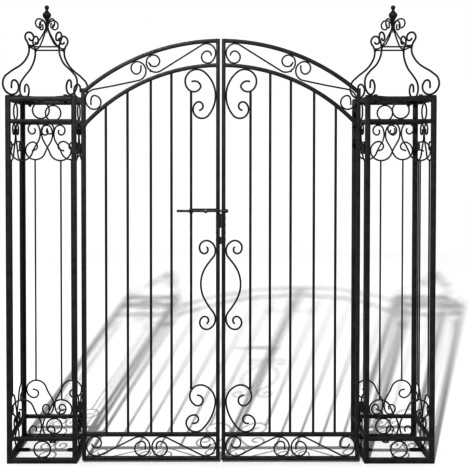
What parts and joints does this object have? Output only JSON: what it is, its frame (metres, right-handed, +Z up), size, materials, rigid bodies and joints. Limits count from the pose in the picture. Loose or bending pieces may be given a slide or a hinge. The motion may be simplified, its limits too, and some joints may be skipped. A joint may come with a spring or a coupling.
{
  "type": "garden gate",
  "caption": "Arched double garden gate in black wrought-iron style: two swinging leaves with scrolls, a sliding latch, and open square pillars with crowns.",
  "frame": {"origin": "on the ground, midway between the two pillars and midway between their front and back faces", "axes": "+Z up, +X to the right as seen from the front, +Y towards the back; the leaves hang in the front plane"},
  "size_m": [1.2358, 0.2176, 1.32],
  "materials": {
    "black_powder_coat": "satin powder coat",
    "black_plastic_cap": "matte moulded"
  },
  "bodies": {
    "pillars": {"left_pillar_posts": "black_powder_coat", "left_pillar_top_rails": "black_powder_coat", "left_pillar_upper_rails": "black_powder_coat", "left_pillar_lower_rails": "black_powder_coat", "left_pillar_bottom_rails": "black_powder_coat", "left_pillar_rings": "black_powder_coat", "left_pillar_scrolls": "black_powder_coat", "left_pillar_rods": "black_powder_coat", "left_pillar_anchor_lugs": "black_powder_coat", "left_pillar_hinge_pins": "black_powder_coat", "left_crown_tabs": "black_powder_coat", "left_crown_cross_bars": "black_powder_coat", "left_crown_bolts": "black_powder_coat", "left_crown_legs": "black_powder_coat", "left_crown_ring": "black_powder_coat", "left_crown_upper_scrolls": "black_powder_coat", "left_crown_stem": "black_powder_coat", "left_crown_finial": "black_powder_coat", "right_pillar_posts": "black_powder_coat", "right_pillar_top_rails": "black_powder_coat", "right_pillar_upper_rails": "black_powder_coat", "right_pillar_lower_rails": "black_powder_coat", "right_pillar_bottom_rails": "black_powder_coat", "right_pillar_rings": "black_powder_coat", "right_pillar_scrolls": "black_powder_coat", "right_pillar_rods": "black_powder_coat", "right_pillar_anchor_lugs": "black_powder_coat", "right_pillar_hinge_pins": "black_powder_coat", "right_crown_tabs": "black_powder_coat", "right_crown_cross_bars": "black_powder_coat", "right_crown_bolts": "black_powder_coat", "right_crown_legs": "black_powder_coat", "right_crown_ring": "black_powder_coat", "right_crown_upper_scrolls": "black_powder_coat", "right_crown_stem": "black_powder_coat", "right_crown_finial": "black_powder_coat"},
    "left_leaf": {"left_leaf_hinge_stile": "black_powder_coat", "left_leaf_meeting_stile": "black_powder_coat", "left_leaf_stile_caps": "black_plastic_cap", "left_leaf_outer_arch": "black_powder_coat", "left_leaf_inner_arch": "black_powder_coat", "left_leaf_cross_rails": "black_powder_coat", "left_leaf_bars": "black_powder_coat", "left_leaf_band_scrolls": "black_powder_coat", "left_leaf_meeting_scrolls": "black_powder_coat", "left_leaf_hinge_barrels": "black_powder_coat", "latch_guides": "black_powder_coat", "latch_strike_plate": "black_powder_coat"},
    "right_leaf": {"right_leaf_hinge_stile": "black_powder_coat", "right_leaf_meeting_stile": "black_powder_coat", "right_leaf_stile_caps": "black_plastic_cap", "right_leaf_outer_arch": "black_powder_coat", "right_leaf_inner_arch": "black_powder_coat", "right_leaf_cross_rails": "black_powder_coat", "right_leaf_bars": "black_powder_coat", "right_leaf_band_scrolls": "black_powder_coat", "right_leaf_meeting_scrolls": "black_powder_coat", "right_leaf_hinge_barrels": "black_powder_coat", "latch_keeper": "black_powder_coat"},
    "latch_bolt": {"latch_bolt": "black_powder_coat"}
  },
  "joints": [
    {"name": "left_leaf_swing", "type": "hinge", "parent": "pillars", "child": "left_leaf", "pos_m": [-0.40265, -0.0935, 0.161], "axis": [0, 0, -1], "range_deg": [-86, 68]},
    {"name": "right_leaf_swing", "type": "hinge", "parent": "pillars", "child": "right_leaf", "pos_m": [0.40265, -0.0935, 0.161], "axis": [0, 0, 1], "range_deg": [-86, 68]},
    {"name": "latch_slide", "type": "slide", "parent": "left_leaf", "child": "latch_bolt", "axis": [1, 0, 0], "range_m": [0, 0.016]}
  ]
}
